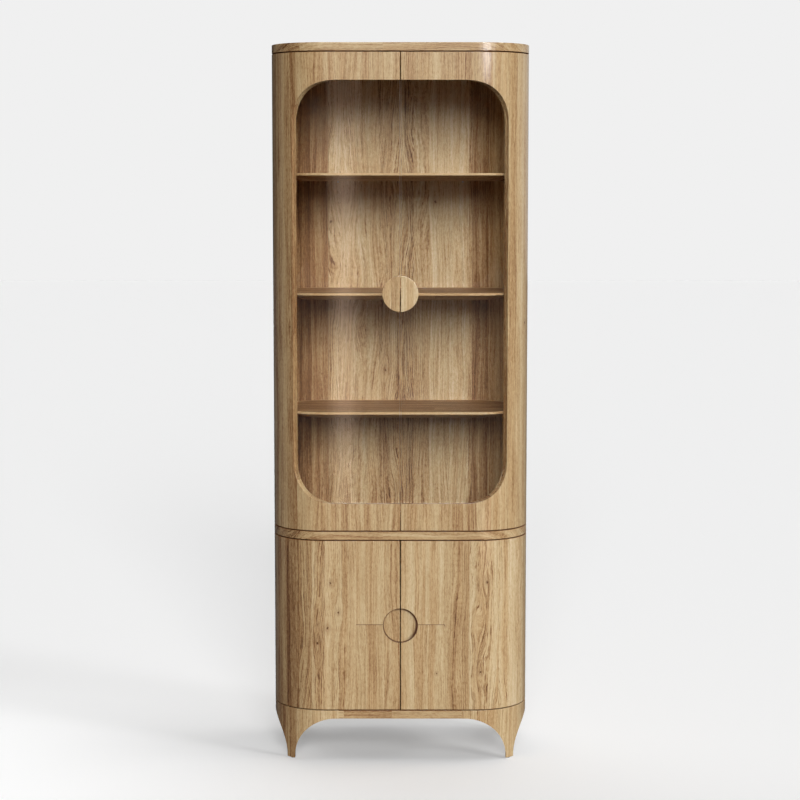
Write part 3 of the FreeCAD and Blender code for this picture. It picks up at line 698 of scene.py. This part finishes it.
    def swap_in_middle(self, sheet: Sheet, x: Socket, z: Socket, around: Socket) -> list[Socket]:
        """Turn the grain in the middle of a piece, between its upright ends.

        Args:
            sheet: Material that the piece takes.
            x: Place from left to right.
            z: Height.
            around: Place round the plan.

        Returns:
            Places across and along the grain.
        """
        middle = sheet.between(x, *self.lengthways_between)
        places = {0: middle, 4: sheet.vector(around, z), 5: sheet.vector(z, x)}
        return sheet.axes(sheet.node("ShaderNodeMix", places, data_type="VECTOR").outputs[1])[:2]

    def edge_mask(self, sheet: Sheet, place: Socket, height: Socket) -> Value:
        """Join the bands along the piece's edges and seams, where the shade of the gaps is painted.

        Args:
            sheet: Material that the piece takes.
            place: Place across the leaves.
            height: Height above the floor.

        Returns:
            Mask of all the edges.
        """
        mask: Value = 0.0
        spots = [(height, level, self.edge_width) for level in self.level_edges]
        if self.half_seam is not None:
            spots += [(place, seam, self.edge_width / 4) for seam in (-self.half_seam, self.half_seam)]
        for spot in spots:
            mask = sheet.most(mask, sheet.band(*spot))
        return mask

    def leaf_map(self, sheet: Sheet, across: Socket) -> list[Socket]:
        """Look up the leaf at a place.

        Args:
            sheet: Material that the leaves lie in.
            across: Place across the leaves, in metres.

        Returns:
            Tone, seed and sweep of the leaf there.
        """
        left, span = -self.leaves[-1].end, 2 * self.leaves[-1].end
        starts = (left, *(leaf.end for leaf in self.leaves))
        stops = [((start - left) / span,
                  (leaf.tone, (number * 0.618 + self.seed * 0.37) % 1.0, leaf.sweep))
                 for number, (start, leaf) in enumerate(zip(starts, self.leaves), 1)]
        share = sheet.over(sheet.minus(across, left), span, clamp=True)
        found = sheet.ramp(share, stops, "CONSTANT")
        return sheet.node("ShaderNodeSeparateColor", {0: found}).outputs[:3]


@dataclass(frozen=True)
class GlassFinish:
    """Clear float glass that lets light through to the shelves, with ground edges at the seam."""

    name: str = "clear glass"
    tint: Colour = (0.965, 0.975, 0.97)
    ground_tint: Colour = (0.42, 0.34, 0.26)
    ground_to: float = 0.0026
    ground_roughness: float = 0.6
    roughness: float = 0.004
    smeared: float = 0.02
    marks: float = 5.0

    def paint(self, sheet: Sheet) -> None:
        """Draw the finish.

        Args:
            sheet: Material to draw it in.
        """
        ground = sheet.below(sheet.size(sheet.axes(sheet.position)[0]), self.ground_to)
        smears, _ = sheet.marks(self.marks)
        smooth = sheet.scaled(smears, self.smeared, self.roughness)
        sheet.fill(sheet.shader, {
            "Transmission Weight": 1.0, "IOR": 1.5,
            "Base Color": sheet.mix(ground, WHITE, self.ground_tint),
            "Roughness": sheet.most(smooth, sheet.times(ground, self.ground_roughness))})
        clear = sheet.node("ShaderNodeBsdfTransparent", {"Color": self.tint}).outputs[0]
        path = sheet.node("ShaderNodeLightPath").outputs
        passing = sheet.most(path["Is Shadow Ray"], path["Is Diffuse Ray"])
        mixed = sheet.node("ShaderNodeMixShader", {0: passing, 1: sheet.shader.outputs[0], 2: clear})
        sheet.fill(sheet.tree.nodes["Material Output"], {"Surface": mixed.outputs[0]})


@dataclass(frozen=True)
class MetalFinish:
    """Plain metal of screws, pins and bushes, with fine turning marks."""

    name: str
    colour: Colour
    roughness: float = 0.32
    smeared: float = 0.62
    turning: float = 0.14
    turns: float = 4200.0
    marks: float = 60.0
    smear_share: float = 0.5
    speck_share: float = 0.15
    relief: Pair = (0.15, 0.0001)

    def paint(self, sheet: Sheet) -> None:
        """Draw the finish.

        Args:
            sheet: Material to draw it in.
        """
        smears, specks = sheet.marks(self.marks)
        _, y, z = sheet.axes(sheet.position)
        turning = sheet.stripes(sheet.times(sheet.plus(y, z), self.turns))
        dull = tuple(self.smeared * level for level in self.colour)
        rough = sheet.scaled(turning, self.turning, self.roughness - self.turning / 2)
        sheet.fill(sheet.shader, {
            "Base Color": sheet.mix(sheet.times(smears, self.smear_share), self.colour, dull),
            "Roughness": sheet.scaled(specks, self.speck_share, rough),
            "Normal": sheet.bump(turning, *self.relief), "Metallic": 1.0})


@dataclass(frozen=True)
class MouldedFinish:
    """Moulded plastic with a fine grained skin."""

    name: str
    colour: Colour
    smeared: float = 1.25
    marks: float = 40.0
    skin: float = 2600.0
    roughness: Pair = (0.2, 0.42)
    relief: Pair = (0.3, 0.0001)

    def paint(self, sheet: Sheet) -> None:
        """Draw the finish.

        Args:
            sheet: Material to draw it in.
        """
        smears, _ = sheet.marks(self.marks)
        skin = sheet.noise(sheet.position, self.skin)
        pale = tuple(min(1.0, self.smeared * level) for level in self.colour)
        sheet.fill(sheet.shader, {
            "Base Color": sheet.mix(smears, self.colour, pale),
            "Roughness": sheet.scaled(skin, *self.roughness), "Normal": sheet.bump(skin, *self.relief)})


Finish = Union[OakFinish, GlassFinish, MetalFinish, MouldedFinish]
Dressing = list[tuple[Finish, tuple[str, ...]]]
STEEL = MetalFinish("steel", (0.55, 0.55, 0.56))
BRASS = MetalFinish("brass", (0.72, 0.55, 0.28), 0.28)
CATCH = MouldedFinish("catch housing", srgb(96, 74, 54))
NYLON = MouldedFinish("glide nylon", srgb(70, 62, 54))
# Painted shade: darker tints for the shelves and the back inside the case, warmer on the shelves.
INSIDE_SHADE_TINT: Colour = (1.0, 0.92, 0.86)
BACK_SHADE_TINT: Colour = (0.93, 0.925, 0.925)


def both(*stems: str) -> tuple[str, ...]:
    """Name the right-hand and left-hand copies of pieces."""
    return tuple(f"{stem}_{side}" for stem in stems for side in ("right", "left"))


def board(*rows: tuple[float, ...]) -> Leaves:
    """Write leaves as rows of end, tone and, where it isn't the usual one, sweep."""
    return tuple(Leaf(*row) for row in rows)


class Workshop:
    """Keeps the shared effects, and makes each finish once."""

    def __init__(self) -> None:
        """Build the effects and start with no finish made."""
        self.effects = Effects()
        self.made: dict[str, bpy.types.Material] = {}

    def finish(self, finish: Finish) -> bpy.types.Material:
        """Give the material of a finish.

        Args:
            finish: Finish to make, or to find again by its name.

        Returns:
            Its material.
        """
        if finish.name not in self.made:
            sheet = Sheet(finish.name, self.effects)
            finish.paint(sheet)
            self.made[finish.name] = sheet.material
        return self.made[finish.name]


@dataclass
class SubAssembly:
    """What the sub-assemblies share: a title, and a count of what is dressed."""

    title: str
    dressed: int = 0

    def finishes(self) -> Dressing:
        """List the finishes, each with the nodes that take it."""
        raise NotImplementedError

    def dress(self, workshop: Workshop) -> None:
        """Put a finish on every node of the sub-assembly.

        Args:
            workshop: Maker of the materials.
        """
        for finish, nodes in self.finishes():
            for node in nodes:
                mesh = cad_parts[node].data
                mesh.materials.clear()
                mesh.materials.append(workshop.finish(finish))
                self.dressed += 1


@dataclass
class Case(SubAssembly):
    """Three slabs, bent sides whose inner faces are darkened as painted shade, backs and what joins
    them.

    The band of the base slab runs on upright from the legs at its ends.
    """

    title: str = "case"
    slab_levels: tuple[float, ...] = (0.6585, 0.6825, 2.066)
    base_levels: tuple[float, ...] = (0.1515,)
    base_joints: Pair = (-0.167, 0.181)
    slab: Leaves = board((-0.29, 0.42, 0.8), (-0.05, 0.52), (0.312, 0.56, 0.4), (0.40, 0.63, 0.5))
    # The dark leaf at the left end runs on from the left leg and paints the same shade.
    base: Leaves = board(
        (-0.334, 0.35), (-0.31, 0.50), (-0.25, 0.62), (-0.167, 0.66), (-0.026, 0.50), (0.181, 0.56),
        (0.25, 0.66), (0.308, 0.56), (0.40, 0.69))
    side: Leaves = board(
        (-0.80, 0.55), (-0.735, 0.50), (-0.66, 0.40, 0.4), (-0.58, 0.50), (-0.50, 0.60, 0.2),
        (-0.42, 0.54, 0.5), (-0.34, 0.60), (0.34, 0.56), (0.42, 0.62, 0.6), (0.50, 0.54),
        (0.58, 0.60, 0.2), (0.66, 0.56, 0.4), (0.735, 0.62), (0.80, 0.49), (0.90, 0.56))
    back: Leaves = board(
        (-0.226, 0.31), (-0.183, 0.72, 0.9), (-0.106, 0.74, 0.7), (-0.066, 0.70, 0.4),
        (0.011, 0.61, 0.8), (0.040, 0.55, 1.0), (0.086, 0.60, 0.5), (0.150, 0.71), (0.209, 0.79, 0.5),
        (0.40, 0.51))
    back_knots: Knots = (Knot(-0.228, 1.895, 0.0035), Knot(-0.212, 1.575, 0.0045),
                         Knot(0.107, 1.635, 0.0045), Knot(-0.046, 1.120, 0.0035))

    def finishes(self) -> Dressing:
        """Put oak on the boards and metal on the screws.

        Returns:
            The finishes, each with its nodes.
        """
        slab = OakFinish("oak slabs", Grain.LENGTHWAYS, self.slab, 3.1, level_edges=self.slab_levels,
                         ring_width=0.0030)
        base = OakFinish("oak base slab", Grain.LENGTHWAYS, self.base, 3.7, level_edges=self.base_levels,
                         lengthways_between=self.base_joints)
        # The sides' inner faces are darkened as painted shade inside the case.
        side = OakFinish("oak sides", Grain.UPRIGHT_ROUND_BEND, self.side, 1.9, inner_shade_drop=0.16)
        # The back's tone drops below about one metre as painted shade of the lowest bay.
        back = OakFinish("oak back", Grain.UPRIGHT, self.back, 2.6, self.back_knots, crisp=1.9,
                         painted_low_shade=(0.90, 1.03, 0.07), coat=0.4, shade_tint=BACK_SHADE_TINT)
        return [(slab, ("top_slab", "mid_slab")), (base, ("base_slab",)),
                (side, (*both("lower_side", "upper_side"), "lower_side_dowels", "upper_side_dowels",
                        "leg_dowels")),
                (back, ("lower_back_panel", "upper_back_panel")),
                (STEEL, ("lower_back_screws", "upper_back_screws"))]


@dataclass
class Legs(SubAssembly):
    """Four arched corner legs on glides, whose leaves run on into the base slab's ends."""

    title: str = "legs"
    # The dark leaves round the left leg's corner paint shade.
    leaves: Leaves = board(
        (-0.72, 0.56), (-0.63, 0.62), (-0.50, 0.55, 0.4), (-0.375, 0.33), (-0.347, 0.38),
        (-0.31, 0.50), (-0.25, 0.62), (0.0, 0.64), (0.25, 0.62, 0.4), (0.31, 0.61), (0.43, 0.66),
        (0.55, 0.62), (0.66, 0.56, 0.4), (0.90, 0.60))

    def finishes(self) -> Dressing:
        """Put upright oak on the legs and nylon on the glides."""
        oak = OakFinish("oak legs", Grain.UPRIGHT_ROUND_BEND, self.leaves, 5.2)
        return [(oak, both("leg_front", "leg_rear")), (NYLON, ("foot_glides",))]


@dataclass
class UpperDoors(SubAssembly):
    """Two bent glazed doors with their panes, round handle in two halves and fittings."""

    title: str = "upper doors"
    ends: Pair = (0.6855, 2.063)
    half_seam: float = 0.0015
    # The darker leaves round the left corner paint shade, and the lighter ones round the right corner
    # paint light.
    frame_leaves: Leaves = board(
        (-0.375, 0.40, 0.2), (-0.345, 0.46, 0.2), (-0.305, 0.42, 0.2), (-0.268, 0.55),
        (-0.232, 0.53, 0.2), (-0.176, 0.52, 0.2), (-0.110, 0.50, 0.2), (-0.052, 0.52), (0.0, 0.56),
        (0.060, 0.49, 0.2), (0.118, 0.58, 0.2), (0.180, 0.55, 0.2), (0.262, 0.52), (0.305, 0.63, 0.2),
        (0.352, 0.54), (0.410, 0.66, 0.2), (0.47, 0.58, 0.2))
    frame_knots: Knots = (Knot(-0.375, 1.756, 0.003), Knot(-0.329, 1.277, 0.0032),
                          Knot(0.402, 1.286, 0.0035))
    handle_leaves: Leaves = board((-0.027, 0.62, 0.2), (0.0, 0.54), (0.008, 0.76, 0.1), (0.06, 0.70))

    def finishes(self) -> Dressing:
        """Put oak, glass and metal on the doors.

        Returns:
            The finishes, each with its nodes.
        """
        # The doors' inner faces right of x = -0.10, with the window reveals there, are darkened as
        # painted shade.
        oak = OakFinish("oak upper doors", Grain.UPRIGHT_ROUND_BEND, self.frame_leaves, 0.3,
                        self.frame_knots, self.ends, self.half_seam,
                        inner_shade_drop=0.20, inner_from=0.0022, inner_beyond=-0.10)
        handle = OakFinish("oak handle", Grain.UPRIGHT, self.handle_leaves, 6.4,
                           half_seam=self.half_seam, edge_width=0.0010)
        return [(oak, both("upper_door", "glazing_bead")), (GlassFinish(), both("glass")),
                (handle, both("handle", "handle_backing")),
                (STEEL, (*both("handle_screws", "upper_strike"), "upper_pivot_pins")),
                (BRASS, both("upper_pivot_bushes")), (CATCH, ("upper_catches",))]


@dataclass
class LowerDoors(SubAssembly):
    """Two bent solid doors with the round finger recess between them, and a splice each side of it."""

    title: str = "lower doors"
    ends: Pair = (0.1545, 0.6555)
    half_seam: float = 0.0015
    recess: Recess = Recess(0.405, 0.050)
    splices: tuple[Splice, ...] = (Splice(0.408, -0.130, -0.050, -0.07),
                                   Splice(0.408, 0.050, 0.130, -0.03))
    # The dark leaves round the left corner paint shade, and the light ones round the right corner paint
    # light.
    leaves: Leaves = board(
        (-0.349, 0.36, 0.2), (-0.304, 0.29), (-0.262, 0.44, 0.7), (-0.222, 0.56, 0.9),
        (-0.202, 0.66, 0.4), (-0.129, 0.57, 0.4), (-0.051, 0.59, 0.2), (0.0, 0.51), (0.060, 0.65),
        (0.130, 0.61, 0.2), (0.199, 0.51, 0.5), (0.288, 0.71, 0.9), (0.322, 0.70, 0.6),
        (0.400, 0.80, 0.6), (0.47, 0.60))
    knots: Knots = (
        Knot(-0.2045, 0.531, 0.0036), Knot(-0.181, 0.444, 0.0030), Knot(-0.213, 0.398, 0.0040),
        Knot(-0.242, 0.352, 0.0045), Knot(0.254, 0.533, 0.0044), Knot(0.235, 0.267, 0.0030),
        Knot(0.106, 0.263, 0.0020), Knot(0.129, 0.4045, 0.0018))

    def finishes(self) -> Dressing:
        """Put oak and metal on the doors.

        Returns:
            The finishes, each with its nodes.
        """
        oak = OakFinish("oak lower doors", Grain.UPRIGHT_ROUND_BEND, self.leaves, 0.7, self.knots,
                        self.ends, self.half_seam, self.splices, self.recess)
        return [(oak, both("lower_door")), (STEEL, (*both("lower_strike"), "lower_pivot_pins")),
                (BRASS, both("lower_pivot_bushes")), (CATCH, ("lower_catches",))]


@dataclass
class Shelving(SubAssembly):
    """Three display shelves and one lower shelf with a painted highlight along their noses, on steel
    pins.
    """

    title: str = "shelving"
    shelves: tuple[str, ...] = ("display_shelf_1", "display_shelf_2", "display_shelf_3", "lower_shelf")
    nose_highlight: Pair = (0.0355, 0.37)
    # The shelves' low tones, with their tint, paint the shade inside the case.
    leaves: Leaves = board((0.1, 0.36), (0.40, 0.38, 0.4))

    def finishes(self) -> Dressing:
        """Put oak on the shelves and steel on their pins.

        Returns:
            The finishes, each with its nodes.
        """
        oak = OakFinish("oak shelves", Grain.LENGTHWAYS, self.leaves, 4.1, nose_highlight=self.nose_highlight, coat=0.1,
                        shade_tint=INSIDE_SHADE_TINT)
        return [(oak, self.shelves), (STEEL, tuple(f"{name}_pins" for name in self.shelves))]


WARM_LIGHT: Colour = (1.0, 0.74, 0.56)


def put_up(name: str, settings: bpy.types.ID, place: Sequence[float],
           turned: Sequence[float]) -> bpy.types.Object:
    """Put a lamp or camera into the scene.

    Args:
        name: Its name.
        settings: Its light or camera data.
        place: Where it stands.
        turned: Its rotation.

    Returns:
        The new object.
    """
    made = bpy.data.objects.new(name, settings)
    bpy.context.scene.collection.objects.link(made)
    made.location, made.rotation_euler = place, turned
    return made


def facing(away: Vector) -> Sequence[float]:
    """Give the rotation of a lamp that shines back along a direction."""
    return away.to_track_quat("Z", "Y").to_euler()


@dataclass(frozen=True)
class Lamp:
    """A large soft lamp far off: its place in degrees, the angle that it fills and its power."""

    name: str
    azimuth: float
    elevation: float
    spread: float
    power: float
    distance: float = 8.0

    def build(self) -> None:
        """Hang the lamp, azimuth counted from straight ahead of the cabinet towards its right."""
        light = bpy.data.lights.new(self.name, "SUN")
        light.energy, light.angle = self.power, math.radians(self.spread)
        turn, rise = math.radians(self.azimuth), math.radians(self.elevation)
        away = Vector((math.sin(turn) * math.cos(rise), -math.cos(turn) * math.cos(rise),
                       math.sin(rise)))
        put_up(self.name, light, away * self.distance, facing(away))


@dataclass(frozen=True)
class Strip:
    """An upright light strip that only shows as a reflection; a glow of 1 looks white."""

    name: str
    place: tuple[float, float, float]
    width: float
    height: float
    glow: float
    colour: Colour = WHITE

    def build(self) -> None:
        """Stand the strip so that it faces the cabinet."""
        light = bpy.data.lights.new(self.name, "AREA")
        light.shape, light.size, light.size_y = "RECTANGLE", self.width, self.height
        light.energy = self.glow * math.pi * self.width * self.height
        light.color = self.colour
        strip = put_up(self.name, light, self.place, facing(Vector((*self.place[:2], 0.0))))
        strip.visible_diffuse = strip.visible_camera = strip.visible_transmission = False


@dataclass
class Studio:
    """Pale floor and background, soft lamps and the camera."""

    background: float = 0.871
    floor_reach: float = 30.0
    floor_albedo: float = 0.79
    floor_bounce: float = 0.12
    floor_glow: float = 0.146
    painted_light: float = 0.175
    painted_light_place: Pair = (-1.35, -0.30)
    painted_light_span: Pair = (1.45, 0.15)
    shade: float = 0.6
    shade_place: Pair = (-0.10, 0.0)
    shade_span: Pair = (0.10, 0.24)
    front_room: float = 0.0
    rear_room: float = 0.55
    room_span: Pair = (-0.15, 0.55)
    left_share: float = 0.04
    left_span: Pair = (-0.02, 0.12)
    soft_share: float = 0.45
    rear_fill: float = 1.15
    fill_span: Pair = (0.1, 0.8)
    camera_place: tuple[float, float, float] = (0.0, -6.0, 1.683)
    camera_pitch: float = 5.6
    lens: float = 90.85
    shift: Pair = (-0.0005, -0.02)
    lights: tuple[Union[Lamp, Strip], ...] = (
        Lamp("front lamp", 4.0, 20.5, 27.0, 2.61),
        Lamp("low side lamp", 60.0, 18.0, 12.0, 0.85),
        Lamp("side lamp", 90.0, 57.0, 36.0, 1.00),
        Strip("narrow strip for the glass", (-0.239, -3.00, 0.95), 0.055, 1.60, 0.80, WARM_LIGHT),
        Strip("strip for the glass", (-0.241, -3.03, 1.10), 0.095, 1.70, 0.78, WARM_LIGHT),
        Strip("wide strip for the glass", (-0.243, -3.06, 1.28), 0.150, 1.70, 0.61, WARM_LIGHT),
        Strip("strip for the right corner", (1.38, -3.0, 3.06), 0.90, 1.8, 9.0),
        Strip("wide strip for the right corner", (1.55, -3.04, 3.11), 1.90, 1.8, 4.0),
        Strip("low strip for the right corner", (1.50, -3.02, 0.120), 1.40, 0.26, 2.3, WARM_LIGHT),
        Strip("strip for the left corner", (-3.0, 0.70, 1.40), 0.50, 3.2, 0.16),
    )

    def build(self) -> None:
        """Make the floor, the world, the lamps and the camera."""
        self.make_floor()
        self.make_world()
        for light in self.lights:
            light.build()
        self.make_camera()

    def make_floor(self) -> None:
        """Lay the floor: pale to the eye, duller to the light that it throws back, with painted light to
        the left of the cabinet and painted shade under it.
        """
        bpy.ops.object.select_all(action="DESELECT")
        bpy.ops.mesh.primitive_plane_add(size=2 * self.floor_reach, location=(0, 0, 0))
        floor = bpy.context.object
        floor.name = "floor"
        sheet = Sheet("studio floor")
        seen = sheet.seen_straight()
        x, y, _ = sheet.axes(sheet.position)
        # Painted light lifts the floor's glow to the left of the cabinet; painted shade lowers it under
        # the cabinet.
        painted_light, shade = (sheet.length(sheet.minus(x, across), sheet.minus(y, back))
                       for across, back in (self.painted_light_place, self.shade_place))
        painted_light = sheet.spread(painted_light, *self.painted_light_span, 0.0, self.painted_light)
        shade = sheet.spread(shade, *self.shade_span, self.shade, 1.0)
        glow = sheet.times(sheet.times(sheet.plus(self.floor_glow, painted_light), shade), seen)
        sheet.fill(sheet.shader, {
            "Base Color": sheet.mix(seen, (self.floor_bounce,) * 3, (self.floor_albedo,) * 3),
            "Emission Color": sheet.vector(glow, glow, glow), "Emission Strength": 1.0,
            "Roughness": 1.0, "Specular IOR Level": 0.0})
        floor.data.materials.append(sheet.material)

    def make_world(self) -> None:
        """Make the background that the eye sees, and the soft light of the room."""
        world = bpy.data.worlds.new("studio")
        world.use_nodes = True
        bpy.context.scene.world = world
        graph = Graph(world.node_tree)
        seen = graph.seen_straight()
        side, back, _ = graph.axes(graph.place("Generated"))
        room = graph.spread(back, *self.room_span, self.front_room, self.rear_room)
        room = graph.times(room, graph.spread(side, *self.left_span, self.left_share, 1.0))
        soft = graph.node("ShaderNodeLightPath").outputs["Is Diffuse Ray"]
        room = graph.times(room, graph.scaled(soft, self.soft_share - 1.0, 1.0))
        fill = graph.times(graph.spread(back, *self.fill_span, 0.0, self.rear_fill), soft)
        room = graph.most(room, fill)
        level = graph.scaled(seen, graph.minus(self.background, room), room)
        graph.fill(world.node_tree.nodes["Background"], {"Color": WHITE, "Strength": level})

    def make_camera(self) -> None:
        """Set up the camera in front of the cabinet, near the height of its upper shelf."""
        data = bpy.data.cameras.new("camera")
        data.lens, data.sensor_width = self.lens, 36.0
        data.shift_x, data.shift_y = self.shift
        turned = (math.radians(90.0 - self.camera_pitch), 0.0, 0.0)
        bpy.context.scene.camera = put_up("camera", data, self.camera_place, turned)


def main() -> None:
    """Dress the cabinet, set it in the studio and log how many nodes each sub-assembly dresses."""
    logging.basicConfig(level=logging.INFO, format="%(message)s")
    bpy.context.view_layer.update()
    bpy.context.scene.view_settings.view_transform = "Standard"
    workshop = Workshop()
    parts = (Case(), Legs(), UpperDoors(), LowerDoors(), Shelving())
    for part in parts:
        part.dress(workshop)
        LOG.info("%s: %d nodes dressed", part.title, part.dressed)
    LOG.info("%d of %d nodes dressed", sum(part.dressed for part in parts), len(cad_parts))
    Studio().build()


if __name__ == "__main__":
    main()
